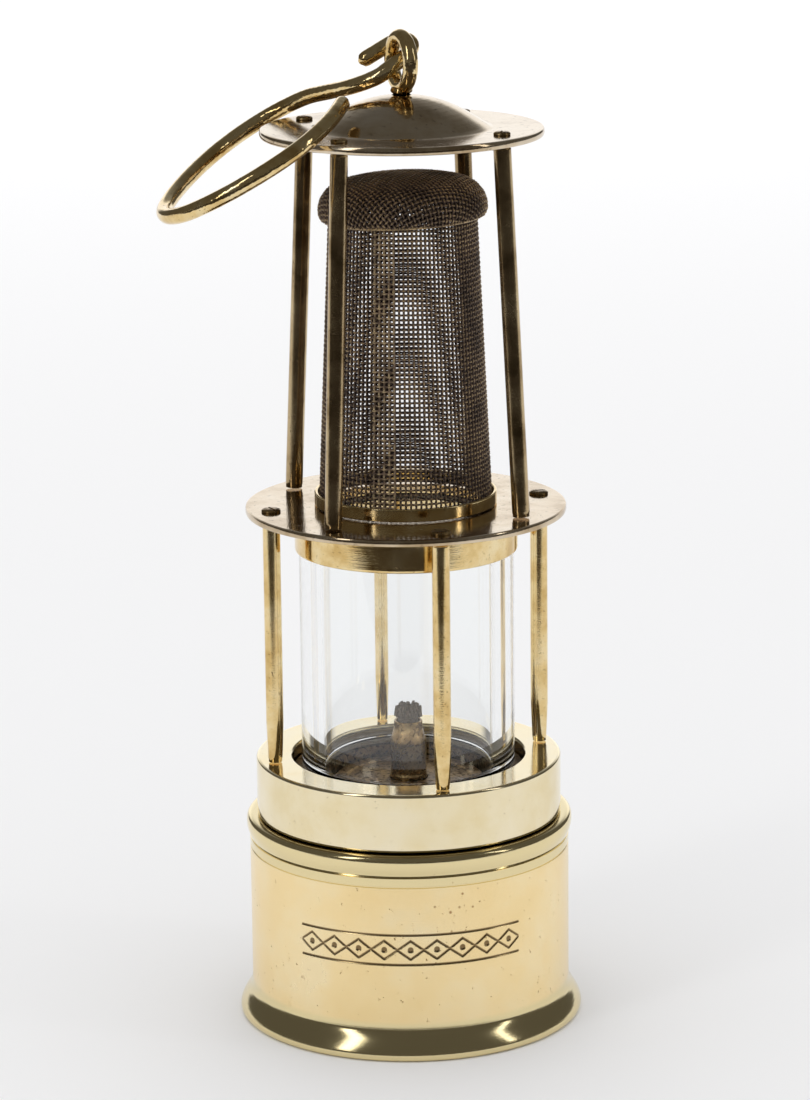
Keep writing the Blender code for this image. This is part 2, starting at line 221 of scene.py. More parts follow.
def makeFlintGlass(look):
    # Thick annealed flint glass: clear, a little cool, with faint wipe marks that soften its shine
    material, tree, shader = startMaterial("flintGlass")
    coords = addNode(tree, "TexCoord")
    wipes = addNode(tree, "Mapping", {
        "Rotation": (0.2, 0.4, 0.0), "Scale": (1.0, 1.0, 0.25), "Vector": (coords, "Object"),
    })
    smear = addNode(tree, "TexNoise", {
        "Scale": 1000 / look["smearMm"], "Detail": 5.0, "Roughness": 0.6, "Vector": wipes,
    })
    rough = addNode(tree, "MapRange", {
        "To Min": 0.0, "To Max": look["roughHigh"], "From Min": 0.45, "From Max": 0.8, "Value": smear,
    })
    tint = fromHex(look["tint"])
    fill(tree, shader, {"Base Color": tint, "Roughness": rough, "IOR": 1.52, "Transmission Weight": 1.0})
    return material


def makeFibre(name, look):
    # Matt fibre or felt: even, dry and slightly fuzzy at thread scale
    material, tree, shader = startMaterial(name)
    coords = addNode(tree, "TexCoord")
    threads = addNode(tree, "TexNoise", {
        "Scale": 1000 / look["threadMm"], "Detail": 6.0, "Roughness": 0.7, "Vector": (coords, "Object"),
    })
    tones = spreadRamp(tree, threads, [(0.3, look["dark"]), (0.7, look["light"])])
    bump = addNode(tree, "Bump", {"Strength": 0.5, "Distance": 0.0001, "Height": threads})
    fill(tree, shader, {
        "Base Color": tones, "Roughness": 0.95, "Normal": bump, "Sheen Weight": look["sheen"],
    })
    return material


oxideWire = makeOxideWire(
    "oxideWire", {"patchMm": 12, "black": "#3f322d", "brown": "#66544a", "glintGold": "#cfb384"}
)
# the lap's wire: the same oxide painted lighter, with a brighter gold as a stronger painted glint on the
# seam
seamGlintWire = makeOxideWire(
    "seamGlintWire", {"patchMm": 3, "black": "#57483e", "brown": "#978069", "glintGold": "#edd6a2"}
)
flintGlass = makeFlintGlass({"smearMm": 6, "roughHigh": 0.03, "tint": "#fdfefe"})
charredCotton = makeFibre(
    "charredCotton", {"threadMm": 0.5, "dark": "#51443a", "light": "#ab9d8a", "sheen": 0.2}
)
cottonWaste = makeFibre(
    "cottonWaste", {"threadMm": 0.8, "dark": "#7d705c", "light": "#c9bda6", "sheen": 0.2}
)
fibreGasket = makeFibre(
    "fibreGasket", {"threadMm": 0.6, "dark": "#6f6455", "light": "#a89a84", "sheen": 0.0}
)
leatherWasher = makeFibre(
    "leatherWasher", {"threadMm": 0.4, "dark": "#21160d", "light": "#4a3220", "sheen": 0.0}
)
print("lamp: finishes ready")


def dress(piece, material, body, *nodes):
    # give a finished piece its finish, its body and the CAD nodes that it stands for
    piece.data.materials.clear()
    piece.data.materials.append(material)
    piece.select_set(False)
    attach(piece, body)
    if nodes:
        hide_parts(*nodes)
    return piece


def pickOnly(piece):
    bpy.ops.object.select_all(action="DESELECT")
    piece.select_set(True)
    bpy.context.view_layer.objects.active = piece


def editAll():
    bpy.ops.object.mode_set(mode="EDIT")
    bpy.ops.mesh.select_all(action="SELECT")


def leaveEdit():
    bpy.ops.object.mode_set(mode="OBJECT")


def drawSection(name, outline):
    # one point, pulled out into a chain along the section
    bpy.ops.mesh.primitive_plane_add(size=mm)
    piece = bpy.context.object
    piece.name = name
    piece.data.name = name
    editAll()
    bpy.ops.mesh.merge(type="CENTER")
    bpy.ops.transform.translate(value=(outline[0][0] * mm, 0, outline[0][1] * mm))
    for (radius, height), (nextRadius, nextHeight) in zip(outline, outline[1:]):
        move = ((nextRadius - radius) * mm, 0, (nextHeight - height) * mm)
        bpy.ops.mesh.extrude_vertices_move(TRANSFORM_OT_translate={"value": move})
    return piece


def easeThrough(points, spacing):
    # an even curve through the given points
    ends = [points[0] * 2 - points[1]] + points + [points[-1] * 2 - points[-2]]
    path = []
    for index in range(1, len(ends) - 2):
        before, start, finish, after = ends[index - 1:index + 3]
        count = max(2, round((finish - start).length / spacing))
        for step in range(count):
            share = step / count
            path.append((
                start * 2 + (finish - before) * share + (
                    before * 2 - start * 5 + finish * 4 - after
                ) * share ** 2
                + (start * 3 - before - finish * 3 + after) * share ** 3
            ) / 2)
    return path + [points[-1]]


def roundOff(points, spacing=0.25):
    # a turned curve through a few of its points
    return [(spot.x, spot.y) for spot in easeThrough([Vector(point) for point in points], spacing)]


def holdCorners(outline, near=0.2):
    # a long straight run gets a point near each end, so smooth shading leaves it straight
    held = outline[:1]
    for (radius, height), (nextRadius, nextHeight) in zip(outline, outline[1:]):
        run = math.hypot(nextRadius - radius, nextHeight - height)
        if run > 5 * near:
            for share in (near / run, 1 - near / run):
                held.append(
                    (radius + (nextRadius - radius) * share, height + (nextHeight - height) * share)
                )
        held.append((nextRadius, nextHeight))
    return held


def turnPiece(name, outline, steps=128, edge=0.0, ring=True):
    # lathe work: the section is spun round the centre line; a ring's section closes on itself
    piece = drawSection(name, holdCorners(outline + outline[:1] if ring else outline))
    bpy.ops.mesh.select_all(action="SELECT")
    bpy.ops.mesh.spin(steps=steps, angle=math.tau, center=(0, 0, 0), axis=(0, 0, 1))
    bpy.ops.mesh.select_all(action="SELECT")
    bpy.ops.mesh.remove_doubles(threshold=0.00001)
    bpy.ops.mesh.normals_make_consistent(inside=False)
    leaveEdit()
    if edge:
        soften(piece, edge)
    bpy.ops.object.shade_smooth_by_angle(angle=math.radians(32))
    return piece


def soften(piece, width):
    # broken edges, as a file or emery leaves them
    bpy.context.view_layer.objects.active = piece
    bevel = piece.modifiers.new("edge", "BEVEL")
    bevel.width = width * mm
    bevel.segments = 2
    bevel.limit_method = "ANGLE"
    bevel.angle_limit = math.radians(35)
    bpy.ops.object.modifier_apply(modifier=bevel.name)


def combine(piece, operation, tool):
    # join a second solid on, or cut it out, and throw it away
    change = piece.modifiers.new("tool", "BOOLEAN")
    change.operation = operation
    change.solver = "EXACT"
    change.object = tool
    bpy.context.view_layer.objects.active = piece
    bpy.ops.object.modifier_apply(modifier=change.name)
    bpy.data.objects.remove(tool, do_unlink=True)


def joinPieces(name, pieces):
    bpy.ops.object.select_all(action="DESELECT")
    for piece in pieces:
        piece.select_set(True)
    bpy.context.view_layer.objects.active = pieces[0]
    bpy.ops.object.join()
    whole = bpy.context.object
    whole.name = name
    whole.data.name = name
    bpy.ops.object.shade_smooth()
    return whole


def place(piece, spot, lean=None):
    # move a piece made at the centre to its place, and fix that place in its mesh
    piece.location = spot
    if lean:
        piece.rotation_mode = "QUATERNION"
        piece.rotation_quaternion = lean
    pickOnly(piece)
    bpy.ops.object.transform_apply()
    piece.rotation_mode = "XYZ"
    return piece


def onCircle(radius, degrees, height):
    angle = math.radians(degrees)
    return Vector((radius * math.cos(angle), radius * math.sin(angle), height)) * mm


# Camera, floor and lights
studio = {
    "target": (-0.0003, 0.0, 0.110), "distance": 0.9825, "elevation": 13.8, "roll": -0.62, "lens": 140.0,
    "paper": "#f3f3f4", "flock": "#38312a", "room": (0.1, 0.095, 0.085, 1.0),
    "backdrop": (0.96, 0.96, 0.97, 1.0), "skyOnPaper": (0.92, 0.92, 0.92, 1.0),
    "apron": [(-0.42, -0.30), (0.30, -0.36), (5.0, 1.0), (5.0, -6.0), (-5.0, -6.0), (-5.0, 1.1)],
    "softboxes": [
        {
            "name": "keySoftbox", "spot": (-0.72, -0.72, 0.70), "size": (0.2, 0.8), "watts": 1.3,
            "mirrored": True
        },
        {
            "name": "fillSoftbox", "spot": (1.0, -0.36, 0.66), "size": (0.1, 0.8), "watts": 0.6,
            "mirrored": True
        },
        {
            "name": "backSoftbox", "spot": (0.0, 2.1, 1.5), "size": (2.4, 1.4), "watts": 12.0,
            "mirrored": False
        },
    ],
}


def setStudio():
    scene = bpy.context.scene
    rise = math.radians(studio["elevation"])
    aim = Vector(studio["target"])
    stand = aim + Vector((0, -math.cos(rise), math.sin(rise))) * studio["distance"]
    camera = bpy.data.cameras.new("lampCamera")
    camera.lens = studio["lens"]
    camera.sensor_width = 36.0
    cameraObject = bpy.data.objects.new("lampCamera", camera)
    scene.collection.objects.link(cameraObject)
    look = (aim - stand).to_track_quat("-Z", "Y").to_matrix().to_4x4()
    roll = Matrix.Rotation(math.radians(studio["roll"]), 4, "Z")
    cameraObject.matrix_world = Matrix.Translation(stand) @ look @ roll
    scene.camera = cameraObject
    scene.view_settings.view_transform = "Standard"
    bpy.ops.mesh.primitive_plane_add(size=14, location=(0, 0, 0))
    floor = bpy.context.object
    floor.name = "studioFloor"
    paper, tree, shader = startMaterial("seamlessPaper")
    fill(tree, shader, {"Base Color": fromHex(studio["paper"]), "Roughness": 0.9})
    floor.data.materials.append(paper)
    # the paper ends a little way in front of the lamp, and the dark studio floor shows only in the brass
    corners = studio["apron"]
    bpy.ops.mesh.primitive_circle_add(
        vertices=len(corners), radius=1, fill_type="NGON", location=(0, 0, 0)
    )
    apron = bpy.context.object
    apron.name = "darkApron"
    for vertex, (across, away) in zip(apron.data.vertices, corners):
        vertex.co = (across, away, 0.002)
    flock, tree, shader = startMaterial("blackFlock")
    fill(tree, shader, {"Base Color": fromHex(studio["flock"]), "Roughness": 1.0})
    apron.data.materials.append(flock)
    for ray in ("camera", "diffuse", "shadow", "transmission"):
        setattr(apron, "visible_" + ray, False)
    for box in studio["softboxes"]:
        light = bpy.data.lights.new(box["name"], "AREA")
        light.shape = "RECTANGLE"
        light.size, light.size_y = box["size"]
        light.energy = box["watts"]
        lightObject = bpy.data.objects.new(box["name"], light)
        scene.collection.objects.link(lightObject)
        lightObject.location = box["spot"]
        goal = Vector((0, 0, 0.1)) if box["mirrored"] else Vector((0, box["spot"][1], 0))
        lightObject.rotation_euler = (goal - lightObject.location).to_track_quat("-Z", "Y").to_euler()
        lightObject.visible_glossy = box["mirrored"]
        lightObject.visible_transmission = box["mirrored"]
    # what the brass sees: bright paper low down behind the lamp, and a dark room above, in front
    # and at the sides
    world = bpy.data.worlds.new("studioRoom")
    scene.world = world
    world.use_nodes = True
    tree = world.node_tree
    coords = addNode(tree, "TexCoord")
    split = addNode(tree, "SeparateXYZ", {"Vector": (coords, "Generated")})
    behind = spreadRamp(tree, (split, "Z"), [(0.28, 1.2), (0.4, 0.3), (0.7, 0.12)])
    side = addNode(tree, "MapRange", {"From Min": 0.3, "From Max": 0.8, "Value": (split, "Y")})
    across = addNode(tree, "Math", {"operation": "ABSOLUTE", 0: (split, "X")})
    width = addNode(tree, "MapRange", {"From Min": 0.42, "From Max": 0.3, "Value": across})
    lit = addNode(tree, "Math", {"operation": "MULTIPLY", 0: side, 1: width})
    room = addNode(tree, "Mix", {"data_type": "RGBA", 0: lit, 6: studio["room"], 7: behind})
    path = addNode(tree, "LightPath")
    even = addNode(tree, "Mix", {
        "data_type": "RGBA", 0: (path, "Is Diffuse Ray"), 6: (room, 2), 7: studio["skyOnPaper"],
    })
    clear = addNode(tree, "Math", {
        "operation": "MAXIMUM", 0: (path, "Is Camera Ray"), 1: (path, "Is Transmission Ray"),
    })
    seen = addNode(tree, "Mix", {"data_type": "RGBA", 0: clear, 6: (even, 2), 7: studio["backdrop"]})
    fill(tree, tree.nodes["Background"], {"Color": (seen, 2)})


setStudio()
print("lamp: studio set")

# Oil vessel: a spun brass pot with a rolled foot and two turned lines under its rim
vesselShape = {
    "wall": 37.1, "footRadius": 40.0, "rimRadius": 37.8, "top": 48.0, "boldLine": 43.1, "fineLine": 40.7,
    "steps": 192
}

# A hand-cut frieze of lozenges and dots round the front of the pot, its grooves filled with old polish
frieze = {
    "height": 26.0, "lozenge": 6.0, "half": 2.2, "dot": 0.45, "rail": 3.5, "groove": 0.34, "panel": 27.0,
    "depth": 0.18, "rows": 7, "rowHeight": 1.25, "cuts": 5, "colour": "#5a3f20",
}

# Old damp has left a cluster of brown flecks on the wall, right of the middle and under the turned lines
damp = {"spot": (9.0, -36.0, 35.5), "reach": 13.0, "fleckMm": 2.3, "widest": 0.27, "colour": "#96693c"}


def makeVessel():
    wall = vesselShape["wall"]
    foot = vesselShape["footRadius"]
    rim = vesselShape["rimRadius"]
    bold = vesselShape["boldLine"]
    fine = vesselShape["fineLine"]
    middle = frieze["rows"] / 2
    panel = [
        (wall, frieze["height"] + (middle - row) * frieze["rowHeight"])
        for row in range(frieze["rows"] + 1)
    ]
    lip = roundOff([
        (36.2, vesselShape["top"]), (36.9, 47.95), (37.4, 47.7), (37.68, 47.3), (rim, 46.7), (rim, 46.0),
        (37.72, 45.2), (37.5, 44.4), (37.28, 43.8), (37.15, bold + 0.3),
    ])
    flare = roundOff([
        (wall, 9.5), (37.12, 8.4), (37.2, 7.5), (37.38, 6.6), (37.7, 5.8), (38.12, 5.1), (38.6, 4.4),
        (39.05, 3.7), (39.45, 3.0), (39.75, 2.35), (39.95, 1.75), (foot, 1.3), (39.95, 0.8), (39.7, 0.4),
        (39.2, 0.1), (38.6, 0.0),
    ])
    outline = [
        (30.0, vesselShape["top"]), *lip, (36.8, bold + 0.18), (36.72, bold), (36.8, bold - 0.18),
        (37.12, bold - 0.32), (wall, fine + 0.22), (36.88, fine + 0.1), (36.88, fine - 0.1),
        (wall, fine - 0.22), *panel, *flare, (37.5, 0.0), (37.4, 0.1), (37.4, 1.8), (36.0, 1.8),
        (36.0, 45.4), (35.0, 46.6), (30.0, 46.7),
    ]
    pot = turnPiece("oilVessel", outline, steps=vesselShape["steps"])
    cutFrieze(pot)
    return dress(pot, engravedBrass(), "vessel", "fuel_vessel")


def grooveShare(along, rise):
    # 1 in the bottom of a groove, 0 outside it, this far along the frieze and off its middle line
    cell = abs((along / frieze["lozenge"] + 0.5) % 1.0 - 0.5) * frieze["lozenge"]
    wide = frieze["lozenge"] / 2
    tall = frieze["half"]
    lozenge = abs(cell / wide + abs(rise) / tall - 1) * wide * tall / math.hypot(wide, tall)
    dot = max(math.hypot(cell, rise) - frieze["dot"], 0)
    rail = abs(abs(rise) - frieze["rail"])
    return max(0.0, 1 - min(lozenge, dot, rail) / frieze["groove"])


def cutFrieze(pot):
    # a fine patch of the wall is drawn in along the pattern's lines
    wall = vesselShape["wall"]
    reach = frieze["rows"] * frieze["rowHeight"] / 2

    def friezeSpot(point):
        along = math.atan2(point.x, -point.y) * wall
        rise = point.z / mm - frieze["height"]
        onWall = abs(point.xy.length / mm - wall) < 0.1
        return onWall and abs(along) < frieze["panel"] + 1 and abs(rise) < reach + 0.01, along, rise

    bpy.ops.object.mode_set(mode="EDIT")
    bpy.ops.mesh.select_mode(type="FACE")
    bpy.ops.mesh.select_all(action="DESELECT")
    leaveEdit()
    for face in pot.data.polygons:
        face.select = friezeSpot(face.center)[0]
    bpy.ops.object.mode_set(mode="EDIT")
    bpy.ops.mesh.subdivide(number_cuts=frieze["cuts"])
    bpy.ops.mesh.select_mode(type="VERT")
    leaveEdit()
    engraving = pot.data.attributes.new("engraving", "FLOAT", "POINT")
    for vertex, mark in zip(pot.data.vertices, engraving.data):
        inside, along, rise = friezeSpot(vertex.co)
        if inside:
            share = grooveShare(along, rise) if abs(along) < frieze["panel"] else 0.0
            vertex.co.xy = vertex.co.xy.normalized() * (wall - frieze["depth"] * share) * mm
            mark.value = share


def engravedBrass():
    # satin on the wall, burnished on the foot and above the turned lines, brown in the grooves
    material = makeBrass("engravedBrass", brassLooks["satinBrass"])
    tree = material.node_tree
    shader = tree.nodes["Principled BSDF"]
    satin, rough = (shader.inputs[socket].links[0].from_node for socket in ("Base Color", "Roughness"))
    coords = addNode(tree, "TexCoord")
    split = addNode(tree, "SeparateXYZ", {"Vector": (coords, "Object")})
    share = addNode(tree, "Math", {
        "operation": "MULTIPLY", 0: (split, "Z"), 1: 1000 / vesselShape["top"],
    })
    burnished = spreadRamp(tree, share, [(0.16, 1.0), (0.185, 0.0), (0.835, 0.0), (0.85, 1.0)])
    bright = addNode(tree, "Mix", {
        "data_type": "RGBA", 0: burnished, 6: (satin, 2), 7: fromHex("#ead9a8"),
    })
    smooth = addNode(tree, "Mix", {"data_type": "FLOAT", 0: burnished, 2: rough, 3: 0.13})
    away = addNode(tree, "VectorMath", {
        "operation": "DISTANCE", 0: (coords, "Object"), 1: Vector(damp["spot"]) * mm,
    })
    near = addNode(tree, "MapRange", {
        "From Max": damp["reach"] * mm, "To Min": damp["widest"], "To Max": 0.0, "Value": (away, "Value"),
    })
    flecks = addNode(tree, "TexVoronoi", {"Scale": 1000 / damp["fleckMm"], "Vector": (coords, "Object")})
    dampness = addNode(tree, "Math", {"operation": "SUBTRACT", 0: near, 1: flecks})
    stained = spreadRamp(tree, dampness, [(0.0, 0.0), (0.1, 0.8)])
    spotted = addNode(tree, "Mix", {
        "data_type": "RGBA", 0: stained, 6: (bright, 2), 7: fromHex(damp["colour"]),
    })
    engraving = addNode(tree, "Attribute", {"attribute_name": "engraving"})
    filled = addNode(tree, "MapRange", {
        "From Min": 0.15, "From Max": 0.6, "To Max": 0.85, "Value": (engraving, "Fac"),
    })
    colour = addNode(tree, "Mix", {
        "data_type": "RGBA", 0: filled, 6: (spotted, 2), 7: fromHex(frieze["colour"]),
    })
    fill(tree, shader, {"Base Color": (colour, 2), "Roughness": smooth})
    return material


makeVessel()
print("lamp: vessel turned")

# Cotton waste inside the pot, packed round the wick's tail
waste = {"inner": 6.0, "outer": 34.6, "top": 43.2, "bottom": 3.0, "lump": 0.7, "seed": 11}


def makeWaste():
    middle = (waste["inner"] + waste["outer"]) / 2
    outline = [
        (waste["inner"], waste["top"] - 3), (waste["inner"] + 2.5, waste["top"] - 0.6),
        (middle, waste["top"]), (waste["outer"] - 2.5, waste["top"] - 0.6),
        (waste["outer"], waste["top"] - 3), (waste["outer"], waste["bottom"] + 3),
        (waste["outer"] - 2.5, waste["bottom"] + 0.6), (middle, waste["bottom"]),
        (waste["inner"] + 2.5, waste["bottom"] + 0.6), (waste["inner"], waste["bottom"] + 3),
    ]
    pad = turnPiece("cottonWaste", outline, steps=48)
    editAll()
    bpy.ops.mesh.subdivide(number_cuts=2, smoothness=0.0)
    bpy.ops.transform.vertex_random(offset=waste["lump"] * mm, seed=waste["seed"])
    bpy.ops.mesh.vertices_smooth(factor=0.6, repeat=3)
    leaveEdit()
    bpy.ops.object.shade_smooth()
    dress(pad, cottonWaste, "vessel", "fuel_wadding")


makeWaste()

# Burner: a screwed plug with a raised seat, and a coned tube for the wick
burnerShape = {
    "flange": 18.0, "top": 56.5, "tubeTop": 70.0, "tubeRadius": 4.15, "mouthRadius": 3.3, "bore": 2.75
}


def makeBurner():
    flange = burnerShape["flange"]
    top = burnerShape["top"]
    outline = [
        (4.5, top), (7.6, top), (8.0, top - 0.25), (14.6, top - 0.35), (15.0, top), (flange - 0.5, top),
        (flange - 0.12, top - 0.15), (flange, top - 0.5), (flange, top - 1.5), (11.9, top - 1.5),
        (11.9, 48.3), (11.4, 47.8), (4.5, 47.8),
    ]
    dress(
        turnPiece("burnerPlug", outline, steps=96, edge=0.08), metals["sootedBrass"], "burner",
        "burner_plug"
    )
    mouth = burnerShape["mouthRadius"]
    tube = burnerShape["tubeRadius"]
    high = burnerShape["tubeTop"]
    outline = [
        (burnerShape["bore"], high - 0.1), (burnerShape["bore"] + 0.1, high), (mouth - 0.12, high),
        (mouth, high - 0.15), (mouth, high - 1.2), (mouth + 0.1, high - 2.0), (3.95, 66.2), (4.1, 65.6),
        (tube, 65.0), (tube, 57.8), (4.3, 57.4), (4.38, 56.9), (4.3, 56.4), (tube, 56.1), (tube, 46.0),
        (burnerShape["bore"], 46.0),
    ]
    dress(turnPiece("wickTube", outline, steps=64), metals["heatedBrass"], "burner", "wick_tube")


makeBurner()

# Wick: plaited cotton, burnt to a frayed brown tuft above the tube
wickShape = {
    "radius": 2.3, "fray": 3.2, "bottom": 12.0, "tuft": 70.6, "top": 74.0, "strands": 90, "seed": 5
}


def makeWick():
    radius = wickShape["radius"]
    outline = [
        (0.0, wickShape["tuft"] + 1.4), (0.9, wickShape["tuft"] + 1.3), (1.7, wickShape["tuft"] + 0.8),
        (radius, wickShape["tuft"]), (radius, wickShape["bottom"] + 0.4),
        (radius - 0.4, wickShape["bottom"]), (0.0, wickShape["bottom"]),
    ]
    core = turnPiece("wickCore", outline, steps=24, ring=False)
    chance = random.Random(wickShape["seed"])
    strands = []
    for index in range(wickShape["strands"]):
        angle = chance.uniform(0, math.tau)
        reach = radius * 0.92 * math.sqrt(chance.random())
        length = chance.uniform(2.0, 3.4) * (1.15 - 0.3 * reach / radius)
        bpy.ops.mesh.primitive_cone_add(
            vertices=5, radius1=0.42 * mm, radius2=0.24 * mm, depth=length * mm
        )
        strand = bpy.context.object
        editAll()
        bpy.ops.mesh.subdivide(number_cuts=2)
        bpy.ops.transform.vertex_random(offset=0.06 * mm, seed=index)
        leaveEdit()
        low = wickShape["tuft"] - 0.1 + (1.1 if reach < radius * 0.6 else 0.5)
        high = min(low + length, wickShape["top"] - 0.1)
        lean = Vector((chance.uniform(-0.3, 0.3), chance.uniform(-0.3, 0.3), 1.0)).to_track_quat("Z", "Y")
        fray = wickShape["fray"] / radius
        spot = Vector(
            (reach * fray * math.cos(angle), reach * fray * math.sin(angle), high - length / 2)
        ) * mm
        place(strand, spot, lean)
        strands.append(strand)
    tuft = joinPieces("wickTuft", strands)
    dress(core, charredCotton, "wick", "wick")
    dress(tuft, charredCotton, "wick")


makeWick()
print("lamp: burner and wick in")

# Collar, glass, its holder and the plate over it
frameShape = {
    "collar": 35.3, "collarTop": 61.8, "collarBore": 26.94, "glass": 24.7, "glassBore": 19.6,
    "band": 25.6, "plate": 36.75, "plateTop": 121.15, "plateBottom": 119.55, "plateHole": 18.6,
}


def makeGlassFrame():
    collar = frameShape["collar"]
    top = frameShape["collarTop"]
    bore = frameShape["collarBore"]
    outline = [
        (bore + 0.35, top), (34.75, top), (35.1, top - 0.12), (collar, top - 0.45), (collar, 48.75),
        (collar - 0.12, 48.45), (35.0, 48.3), (30.1, 48.3), (30.1, 49.4), (bore, 49.4), (bore, top - 0.4),
    ]
    dress(
        turnPiece("collarRing", outline, steps=192, edge=0.05), metals["paleBrass"], "frame",
        "collar_ring"
    )
    glass = frameShape["glass"]
    bore = frameShape["glassBore"]
    outline = [
        (bore + 0.5, 117.5), (glass - 0.5, 117.5), (glass - 0.14, 117.36), (glass, 117.0), (glass, 60.5),
        (glass - 0.14, 60.14), (glass - 0.5, 60.0), (bore + 0.5, 60.0), (bore + 0.14, 60.14),
        (bore, 60.5), (bore, 117.0), (bore + 0.14, 117.36),
    ]
    dress(turnPiece("lampGlass", outline, steps=192), flintGlass, "frame", "glass_cylinder")
    band = frameShape["band"]
    outline = [
        (20.4, 119.25), (band - 0.2, 119.25), (band, 119.05), (band, 111.2), (band - 0.06, 110.9),
        (band - 0.25, 110.72), (25.05, 110.7), (25.0, 110.9), (25.0, 118.8), (20.4, 118.8),
    ]
    dress(
        turnPiece("glassHolder", outline, steps=192), metals["polishedBrass"], "frame",
        "glass_holder_band"
    )
    plate = frameShape["plate"]
    high = frameShape["plateTop"]
    low = frameShape["plateBottom"]
    outline = [
        (frameShape["plateHole"], high), (plate - 0.45, high), (plate - 0.12, high - 0.14),
        (plate, high - 0.5), (plate, low + 0.5), (plate - 0.12, low + 0.14), (plate - 0.45, low),
        (frameShape["plateHole"], low),
    ]
    dress(turnPiece("middlePlate", outline, steps=192), metals["bronzeBrass"], "frame", "middle_plate")


makeGlassFrame()

# The hood is spun with a low dome, over the upper pillars
hoodShape = {"rim": 32.06, "flat": 207.65, "under": 205.8, "dome": 215.0, "domeFoot": 20.3, "wall": 1.35}

# Pillars are drawn rod with turned-down feet; each head is a slotted screw
pillarShape = {
    "radius": 2.0, "lowerSpan": (62.1, 119.25), "upperSpan": (121.55, 205.4), "lowerNeck": 1.55,
    "upperNeck": 1.9, "lowerCircle": 31.6, "lowerTurn": 14.0, "upperFoot": 30.6, "upperHead": 26.1,
    "upperTurn": 58.0, "plateScrew": 2.2, "hoodScrew": 1.9, "screwHeight": 0.85, "slotWidth": 0.55,
    "slotDepth": 0.35,
}


def makePillar(name, foot, head, material, node, taper, neck):
    length = (head - foot).length / mm
    radius = pillarShape["radius"]
    outline = [
        (0.0, length), (neck, length), (neck, length - 0.5), (radius - 0.1, length - 0.6),
        (radius, length - 0.8), (radius, taper + 1.0), (radius - 0.02, taper), (neck + 0.1, 1.0),
        (neck, 0.5), (neck, 0.0), (0.0, 0.0),
    ]
    rod = turnPiece(name, outline, steps=40, ring=False)
    place(rod, foot, (head - foot).to_track_quat("Z", "Y"))
    dress(rod, material, "frame", node)


def makeScrew(name, spot, radius, turn, node):
    high = pillarShape["screwHeight"]
    outline = [
        (0.0, high), (radius * 0.5, high - 0.02), (radius * 0.8, high - 0.1),
        (radius * 0.95, high - 0.28), (radius, high - 0.45), (radius, 0.08), (radius - 0.08, 0.0),
        (0.0, 0.0),
    ]
    head = turnPiece(name, outline, steps=40, ring=False)
    bpy.ops.mesh.primitive_cube_add(
        size=1, location=(0, 0, (high - pillarShape["slotDepth"] / 2 + 0.5) * mm)
    )
    saw = bpy.context.object
    saw.scale = (radius * 2.6 * mm, pillarShape["slotWidth"] * mm, (pillarShape["slotDepth"] + 1.0) * mm)
    saw.rotation_euler = (0, 0, math.radians(turn))
    combine(head, "DIFFERENCE", saw)
    place(head, spot)
    bpy.ops.object.shade_smooth_by_angle(angle=math.radians(32))
    dress(head, metals["heatedBrass"], "frame", node)


def makePillars():
    # four of each, and every slot has stopped at its own turn
    for index in range(4):
        number = index + 1
        angle = pillarShape["lowerTurn"] + 90 * index
        circle = pillarShape["lowerCircle"]
        foot, head = (onCircle(circle, angle, height) for height in pillarShape["lowerSpan"])
        makePillar(
            f"glassPillar{number}", foot, head, metals["polishedBrass"], f"lower_pillar_{number}", 9.0,
            pillarShape["lowerNeck"]
        )
        makeScrew(
            f"plateScrew{number}", onCircle(circle, angle, frameShape["plateTop"]),
            pillarShape["plateScrew"], 25 + 47 * index, f"frame_screw_{number}"
        )
        angle = pillarShape["upperTurn"] + 90 * index
        circle = pillarShape["upperHead"]
        low, high = pillarShape["upperSpan"]
        makePillar(
            f"gauzePillar{number}", onCircle(pillarShape["upperFoot"], angle, low),
            onCircle(circle, angle, high), metals["drawnBrass"], f"upper_pillar_{number}", 1.5,
            pillarShape["upperNeck"]
        )
        makeScrew(
            f"hoodScrew{number}", onCircle(circle, angle, hoodShape["flat"]), pillarShape["hoodScrew"],
            70 + 61 * index, f"hood_screw_{number}"
        )


makePillars()
print("lamp: frame and pillars up")

# Gauze: plain weave of upright and round wires, each bent over and under the others.
# About twenty-three wires to the inch, so the wires stand 1.1 mm apart. The wire is drawn 0.52 mm thick,
# where lamp gauze has about 0.4 mm, so that the weave shows.
gauzeShape = {
    "wires": 104, "pitch": 1.1, "wire": 0.26, "wave": 0.25, "footRadius": 19.45, "headRadius": 16.3,
    "foot": 121.8, "head": 192.2, "seamTurn": 255.0, "seamWires": 5, "seamLift": 0.75,
}


def gauzeRadius(height):
    share = (height - gauzeShape["foot"]) / (gauzeShape["head"] - gauzeShape["foot"])
    return gauzeShape["footRadius"] + (gauzeShape["headRadius"] - gauzeShape["footRadius"]) * share


def splitAlong(wire, cuts):
    # even cuts along a straight wire, and none across it
    bpy.ops.object.mode_set(mode="EDIT")
    bpy.ops.mesh.select_mode(type="EDGE")
    bpy.ops.mesh.select_all(action="DESELECT")
    leaveEdit()
    for edge in wire.data.edges:
        low, high = (wire.data.vertices[index].co.z for index in edge.vertices)
        edge.select = abs(high - low) > mm
    bpy.ops.object.mode_set(mode="EDIT")
    bpy.ops.mesh.subdivide(number_cuts=cuts)
    bpy.ops.mesh.select_mode(type="VERT")
    leaveEdit()


